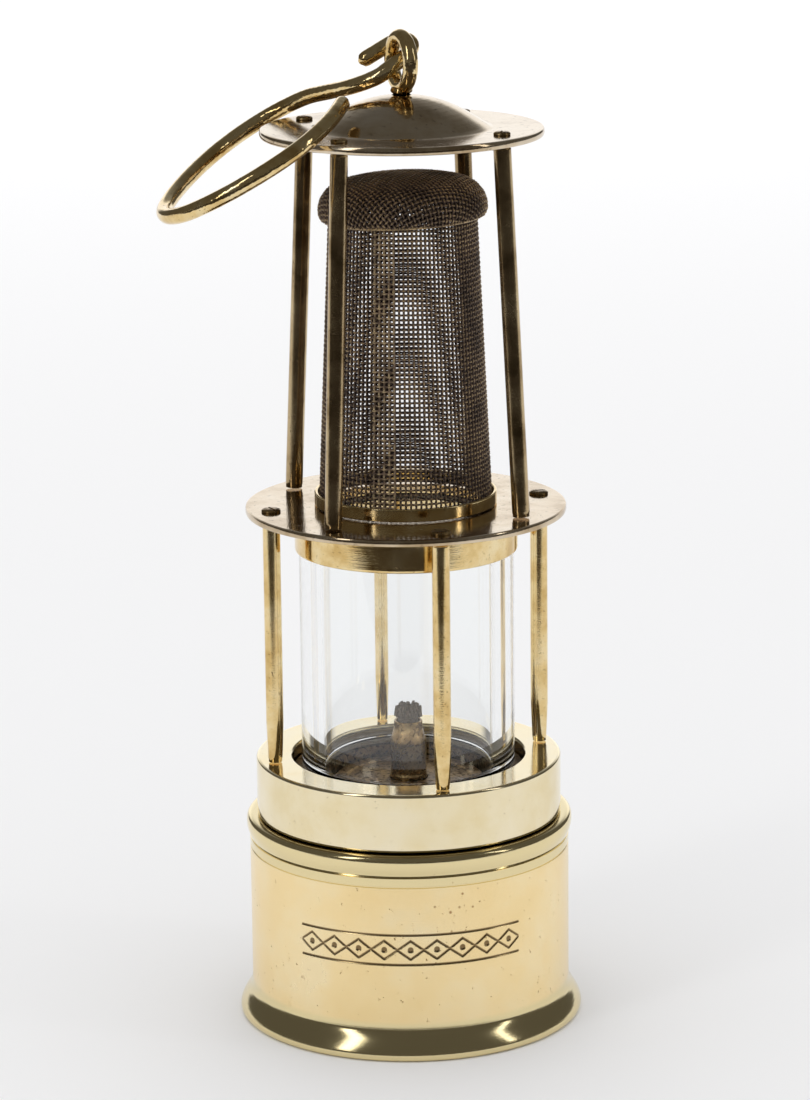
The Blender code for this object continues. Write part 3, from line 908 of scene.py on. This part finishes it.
def uprightWire(phase, lift=0.0):
    # one upright wire at the angle 0, waved in and out between the round ones
    foot = gauzeShape["foot"]
    head = gauzeShape["head"]
    cuts = round((head - foot) / gauzeShape["pitch"] * 2)
    bpy.ops.mesh.primitive_cylinder_add(
        vertices=5, radius=gauzeShape["wire"] * mm, depth=(head - foot) * mm,
        location=(0, 0, (foot + head) / 2 * mm)
    )
    wire = bpy.context.object
    bpy.ops.object.transform_apply()
    splitAlong(wire, cuts - 1)
    crests = []
    for vertex in wire.data.vertices:
        height = vertex.co.z / mm
        wave = gauzeShape["wave"] * phase * math.cos(math.pi * (height - foot) / gauzeShape["pitch"])
        crests.append((vertex.co.x / mm + wave) / (gauzeShape["wave"] + gauzeShape["wire"]))
        vertex.co.x += (gauzeRadius(height) + wave + lift) * mm
    markCrests(wire, crests)
    return wire


def copyRound(wire, count):
    # copies of a wire all the way round the centre line, each with its own mesh
    copies = [wire]
    for index in range(1, count):
        copy = wire.copy()
        copy.data = wire.data.copy()
        copy.data.transform(Matrix.Rotation(math.tau * index / count, 4, "Z"))
        bpy.context.collection.objects.link(copy)
        copies.append(copy)
    return copies


def turnMesh(piece, degrees):
    piece.rotation_euler = (0, 0, math.radians(degrees))
    pickOnly(piece)
    bpy.ops.object.transform_apply()


def roundWires(phase, first, lift=0.0):
    # every second round wire, arrayed up the gauze and drawn in to its taper
    wires = gauzeShape["wires"]
    pitch = gauzeShape["pitch"]
    foot = gauzeShape["foot"]
    count = int((gauzeShape["head"] - foot - first) / (2 * pitch)) + 1
    bpy.ops.mesh.primitive_torus_add(
        major_segments=wires * 2, minor_segments=5, major_radius=gauzeShape["footRadius"] * mm,
        minor_radius=gauzeShape["wire"] * mm,
        location=(0, 0, (foot + first) * mm),
    )
    ring = bpy.context.object
    bpy.ops.object.transform_apply()
    crests = []
    for vertex in ring.data.vertices:
        angle = math.atan2(vertex.co.y, vertex.co.x)
        wave = gauzeShape["wave"] * phase * math.cos(wires / 2 * angle)
        proud = vertex.co.xy.length / mm - gauzeShape["footRadius"] + wave
        crests.append(proud / (gauzeShape["wave"] + gauzeShape["wire"]))
        outward = Vector((math.cos(angle), math.sin(angle), 0))
        vertex.co += outward * (wave + lift) * mm
    markCrests(ring, crests)
    array = ring.modifiers.new("rows", "ARRAY")
    array.count = count
    array.use_relative_offset = False
    array.use_constant_offset = True
    array.constant_offset_displace = (0, 0, 2 * pitch * mm)
    bpy.ops.object.modifier_apply(modifier=array.name)
    for vertex in ring.data.vertices:
        rise = vertex.co.z / mm
        row = foot + first + round((rise - foot - first) / (2 * pitch)) * 2 * pitch
        inward = gauzeRadius(row) - gauzeShape["footRadius"]
        angle = math.atan2(vertex.co.y, vertex.co.x)
        vertex.co += Vector((math.cos(angle), math.sin(angle), 0)) * inward * mm
    return ring


def makeGauze():
    wires = gauzeShape["wires"]
    step = math.tau / wires
    uprights = []
    for phase in (1, -1):
        wire = uprightWire(phase)
        if phase < 0:
            turnMesh(wire, math.degrees(step))
        uprights += copyRound(wire, wires // 2)
    cloth = joinPieces("gauzeUprights", uprights)
    dress(cloth, oxideWire, "frame", "gauze_body")
    rows = [roundWires(-1, 0.0), roundWires(1, gauzeShape["pitch"])]
    cloth = joinPieces("gauzeRounds", rows)
    dress(cloth, oxideWire, "frame")
    # the cloth's two ends lap over each other in one upright seam
    lap = []
    half = (gauzeShape["seamWires"] - 1) / 2
    for index in range(gauzeShape["seamWires"]):
        wire = uprightWire(1 if index % 2 else -1, gauzeShape["seamLift"])
        turnMesh(wire, gauzeShape["seamTurn"] + (index - half + 0.3) * math.degrees(step))
        lap.append(wire)
    cloth = joinPieces("gauzeSeamUprights", lap)
    # the lap's uprights take the lighter wire with the stronger painted glint
    dress(cloth, seamGlintWire, "frame")
    shift = gauzeShape["pitch"] * 0.45
    lift = gauzeShape["seamLift"]
    rows = [roundWires(1, shift, lift), roundWires(-1, gauzeShape["pitch"] + shift, lift)]
    for row in rows:
        trimRow(row, gauzeShape["seamTurn"], (half + 0.45) * math.degrees(step))
    cloth = joinPieces("gauzeSeamRounds", rows)
    # the lap's round wires take the lighter wire with the stronger painted glint
    dress(cloth, seamGlintWire, "frame")


def trimRow(row, middle, reach):
    # keep only the part of each round wire that lies on the lap, and close its cut ends
    aim = Vector((math.cos(math.radians(middle)), math.sin(math.radians(middle))))
    for vertex in row.data.vertices:
        away = aim.angle(Vector((vertex.co.x, vertex.co.y)))
        vertex.select = math.degrees(away) > reach
    for part in [*row.data.edges, *row.data.polygons]:
        part.select = all(row.data.vertices[index].select for index in part.vertices)
    pickOnly(row)
    bpy.ops.object.mode_set(mode="EDIT")
    bpy.ops.mesh.delete(type="VERT")
    bpy.ops.mesh.select_all(action="SELECT")
    bpy.ops.mesh.fill_holes(sides=8)
    leaveEdit()


makeGauze()
print("lamp: gauze woven")

# Gauze cap: the same cloth pressed over a round former, with its edge turned over a hoop
capShape = {
    "pitch": 1.1, "wire": 0.26, "wave": 0.24, "hoop": 0.42, "hoopRadius": 18.0, "hoopHeight": 187.6,
    "liningDrop": 0.95, "liningPitch": 0.8, "liningTurn": 41.0, "turn": 28.0, "tilt": -1.8,
    "tiltHeight": 190.0,
    "section": [
        (0.0, 196.7), (6.0, 196.55), (11.0, 196.1), (14.6, 195.3), (16.8, 194.0), (18.2, 192.2),
        (18.8, 190.4), (18.8, 188.6), (18.2, 187.5),
    ],
}


def capPoint(reach):
    # how far out and how high the cloth lies, this far along it from the crown
    section = capShape["section"]
    for (radius, height), (nextRadius, nextHeight) in zip(section, section[1:]):
        run = math.hypot(nextRadius - radius, nextHeight - height)
        if reach <= run or nextHeight == section[-1][1]:
            share = reach / run
            spot = Vector(
                (radius + (nextRadius - radius) * share, height + (nextHeight - height) * share)
            )
            slope = Vector((nextRadius - radius, nextHeight - height)).normalized()
            return spot, Vector((-slope.y, slope.x))
        reach -= run


def makeCapWires(name, along, pitch, drop, turn):
    section = capShape["section"]
    total = sum(math.hypot(b[0] - a[0], b[1] - a[1]) for a, b in zip(section, section[1:]))
    side = int(total / pitch)
    wires = []
    for row in range(-side, side + 1):
        offset = row * pitch
        length = 2 * math.sqrt(total * total - offset * offset)
        cuts = max(4, round(length / pitch * 2))
        bpy.ops.mesh.primitive_cylinder_add(vertices=5, radius=capShape["wire"] * mm, depth=length * mm)
        wire = bpy.context.object
        splitAlong(wire, cuts)
        crests = []
        for vertex in wire.data.vertices:
            run = vertex.co.z / mm
            across = offset + vertex.co.x / mm
            weave = math.cos(math.pi * run / pitch) * (1 if row % 2 else -1) * (1 if along else -1)
            over = vertex.co.y / mm + capShape["wave"] * weave - drop
            crests.append((over + drop) / (capShape["wave"] + capShape["wire"]))
            flat = Vector((run, across)) if along else Vector((across, run))
            reach = flat.length
            spot, out = capPoint(min(reach, total - 0.01))
            way = flat.normalized() if reach > 0.001 else Vector((1, 0))
            radius = spot.x + out.x * over
            vertex.co = Vector((way.x * radius, way.y * radius, spot.y + out.y * over)) * mm
        markCrests(wire, crests)
        wires.append(wire)
    cloth = joinPieces(name, wires)
    cloth.data.transform(Matrix.Rotation(math.radians(turn), 4, "Z"))
    return tiltCap(cloth)


def tiltCap(piece):
    # the cap sits a little lower on one side
    middle = Vector((0, 0, capShape["tiltHeight"])) * mm
    lean = Matrix.Rotation(math.radians(capShape["tilt"]), 4, "Y")
    piece.data.transform(Matrix.Translation(middle) @ lean @ Matrix.Translation(-middle))
    return piece


def makeCap():
    # the lining is a second cloth under the first, turned so that its wires fill the gaps
    layers = {
        "gauzeCap": (capShape["pitch"], 0.0, 0.0),
        "gauzeCapLining": (capShape["liningPitch"], capShape["liningDrop"], capShape["liningTurn"]),
    }
    for layer, (pitch, drop, turn) in layers.items():
        for way, along in (("Long", True), ("Cross", False)):
            cloth = makeCapWires(layer + way, along, pitch, drop, capShape["turn"] + turn)
            dress(cloth, oxideWire, "frame", *(["gauze_cap"] if drop == 0 and along else []))
    bpy.ops.mesh.primitive_torus_add(
        major_segments=120, minor_segments=10, major_radius=capShape["hoopRadius"] * mm,
        minor_radius=capShape["hoop"] * mm, location=(0, 0, capShape["hoopHeight"] * mm)
    )
    hoop = bpy.context.object
    hoop.name = "gauzeCapHoop"
    bpy.ops.object.transform_apply()
    for vertex in hoop.data.vertices:
        angle = math.atan2(vertex.co.y, vertex.co.x)
        vertex.co.z += 0.12 * mm * math.sin(60 * angle)
    # the hoop's outer side counts as crest, so it takes the painted gold glint
    outer = (capShape["hoopRadius"] + 0.2) * mm
    markCrests(hoop, [1.0 if vertex.co.xy.length > outer else 0.3 for vertex in hoop.data.vertices])
    tiltCap(hoop)
    bpy.ops.object.shade_smooth()
    dress(hoop, oxideWire, "frame")


makeCap()
print("lamp: gauze cap pressed")


def domeHeight(radius):
    # a shallow cap that eases into the flat brim
    share = min(radius / hoodShape["domeFoot"], 1.0)
    return hoodShape["flat"] + (hoodShape["dome"] - hoodShape["flat"]) * (1 - share ** 2.15) ** 1.12


def makeHood():
    # the ring round the gauze's foot, then the hood itself
    outline = [
        (20.1, 124.3), (20.3, 124.4), (20.7, 124.4), (20.88, 124.2), (20.9, 121.6), (20.75, 121.45),
        (20.1, 121.45)
    ]
    dress(
        turnPiece("gauzeRing", outline, steps=160, edge=0.06), metals["polishedBrass"], "frame",
        "gauze_ring"
    )
    rim = hoodShape["rim"]
    top = [
        (radius, domeHeight(radius))
        for radius in (2.2, 3.5, 5, 6.5, 8, 9.5, 11, 12.5, 14, 15.5, 17, 18, 19, 19.8, 20.5)
    ]
    flat = hoodShape["flat"]
    low = hoodShape["under"]
    edge = [
        (24.0, flat), (rim - 0.6, flat), (rim - 0.22, 207.52), (rim - 0.04, 207.2), (rim, 206.75),
        (rim - 0.04, 206.3), (rim - 0.22, 205.95), (rim - 0.6, low), (24.0, low),
    ]
    under = [
        (radius, max(domeHeight(radius + 0.5) - hoodShape["wall"], low))
        for radius in (20.6, 19.2, 18, 16.5, 15, 13, 11, 9, 7, 5, 3.5, 2.2)
    ]
    dress(
        turnPiece("domedHood", top + edge + under, steps=192), metals["bronzeBrass"], "frame",
        "hood_plate"
    )


makeHood()
print("lamp: hood spun")

# Eye: a forged ring on a shank that turns in the dome
eyeShape = {"height": 222.4, "ring": 5.6, "wire": 1.7, "shank": 1.8, "turn": 292.0}


def makeEye():
    bpy.ops.mesh.primitive_torus_add(
        major_segments=96, minor_segments=32, major_radius=eyeShape["ring"] * mm,
        minor_radius=eyeShape["wire"] * mm
    )
    ring = bpy.context.object
    ring.name = "swivelEye"
    spot = Vector((0, 0, eyeShape["height"])) * mm
    upright = Euler((math.radians(90), 0, math.radians(eyeShape["turn"])))
    place(ring, spot, upright.to_quaternion())
    low = eyeShape["height"] - eyeShape["ring"]
    shank = eyeShape["shank"]
    outline = [
        (0.0, low + 0.3), (1.2, low + 0.2), (2.3, low - 0.25), (2.55, low - 0.8), (2.4, low - 1.2),
        (shank + 0.2, low - 1.5), (shank, low - 1.9), (shank, 207.6), (shank - 0.3, 207.2), (0.0, 207.2),
    ]
    combine(ring, "UNION", turnPiece("shank", outline, steps=64, ring=False))
    pickOnly(ring)
    bpy.ops.object.shade_smooth_by_angle(angle=math.radians(50))
    dress(ring, metals["forgedBrass"], "eye", "eye_bolt")


makeEye()

# Hook: one length of brass wire, closed round the eye and bent to a wide bow with a blunt end
hookShape = {
    "wire": 1.8, "tilt": 30.0, "yaw": 8.7, "loop": 4.15, "loopRoll": 21.0, "loopSpot": (-1.3, 0.25, 0.95),
    "stub": 6.6,
    "bow": [
        (2.2, 4.6, -0.8), (5.4, 4.3, -1.0), (10.5, 1.1, -0.55), (15.0, -7.0, -0.4), (20.0, -14.6, 0.0),
        (26.0, -18.8, 0.0), (32.0, -19.9, 0.0), (38.0, -18.9, 0.0), (43.6, -16.0, 0.0),
        (49.3, -10.9, 0.0), (54.4, -4.2, 0.0), (58.8, 3.8, 0.0), (61.4, 12.0, 0.0), (61.3, 20.0, 0.0),
        (58.6, 26.8, 0.0), (54.0, 31.2, 0.0), (47.6, 34.2, 0.0), (40.6, 35.3, 0.0), (33.6, 34.5, 0.0),
        (27.2, 31.6, 0.0), (22.0, 26.6, 0.0), (18.0, 20.4, 0.0), (14.9, 13.4, 0.0),
    ],
}


def makeHook():
    tilt = math.radians(hookShape["tilt"])
    yaw = math.radians(hookShape["yaw"])
    along = Vector((-math.cos(tilt) * math.cos(yaw), -math.cos(tilt) * math.sin(yaw), -math.sin(tilt)))
    across = Vector((math.sin(yaw), -math.cos(yaw), 0))
    off = along.cross(across)
    if off.z < 0:
        off.negate()
    side = math.radians(eyeShape["turn"])
    ring = eyeShape["ring"]
    strand = Vector((-ring * math.cos(side), -ring * math.sin(side), eyeShape["height"]))
    loop = hookShape["loop"]
    roll = math.radians(hookShape["loopRoll"])
    middle = Vector(hookShape["loopSpot"])
    tail = middle.y - loop * math.cos(roll), middle.z + loop * math.sin(roll)
    plan = [Vector((reach, *tail)) for reach in (hookShape["stub"], 1.5)]
    for step in range(-3, 4):
        turn = math.radians(30 * step)
        sway = loop * math.sin(turn)
        plan.append(
            middle + Vector((-loop * math.cos(turn), sway * math.cos(roll), -sway * math.sin(roll)))
        )
    plan += [Vector(spot) for spot in hookShape["bow"]]
    path = easeThrough([strand + along * spot.x + across * spot.y + off * spot.z for spot in plan], 0.9)
    bpy.ops.curve.primitive_nurbs_path_add()
    wire = bpy.context.object
    wire.name = "wireHook"
    curve = wire.data
    curve.splines.clear()
    spline = curve.splines.new("POLY")
    spline.points.add(len(path) - 1)
    travel = [0.0]
    for before, after in zip(path, path[1:]):
        travel.append(travel[-1] + (after - before).length)
    radius = hookShape["wire"]
    for point, spot, run in zip(spline.points, path, travel):
        point.co = (*(spot * mm), 1.0)
        near = min(run, travel[-1] - run)
        point.radius = math.sqrt(max(1 - (1 - near / radius) ** 2, 0.04)) if near < radius else 1.0
    curve.dimensions = "3D"
    curve.bevel_depth = radius * mm
    curve.bevel_resolution = 8
    curve.use_fill_caps = True
    bpy.ops.object.convert(target="MESH")
    wire = bpy.context.object
    editAll()
    bpy.ops.mesh.remove_doubles(threshold=0.00001)
    bpy.ops.mesh.normals_make_consistent(inside=False)
    leaveEdit()
    bpy.ops.object.shade_smooth()
    dress(wire, metals["forgedBrass"], "hook", "hook")


makeHook()
print("lamp: eye and hook hung")

# CAD nodes that stay take their proper finish
kept = {
    "base_plate": metals["satinBrass"], "vessel_deck": metals["sootedBrass"],
    "collar_seal": leatherWasher, "burner_washer": leatherWasher,
    "glass_seat_ring": metals["sootedBrass"], "lower_glass_gasket": fibreGasket,
    "upper_glass_gasket": fibreGasket, "eye_washer": metals["bronzeBrass"],
    "eye_nut": metals["bronzeBrass"],
}
for name, material in kept.items():
    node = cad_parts[name]
    node.data.materials.clear()
    node.data.materials.append(material)

print("lamp: done")
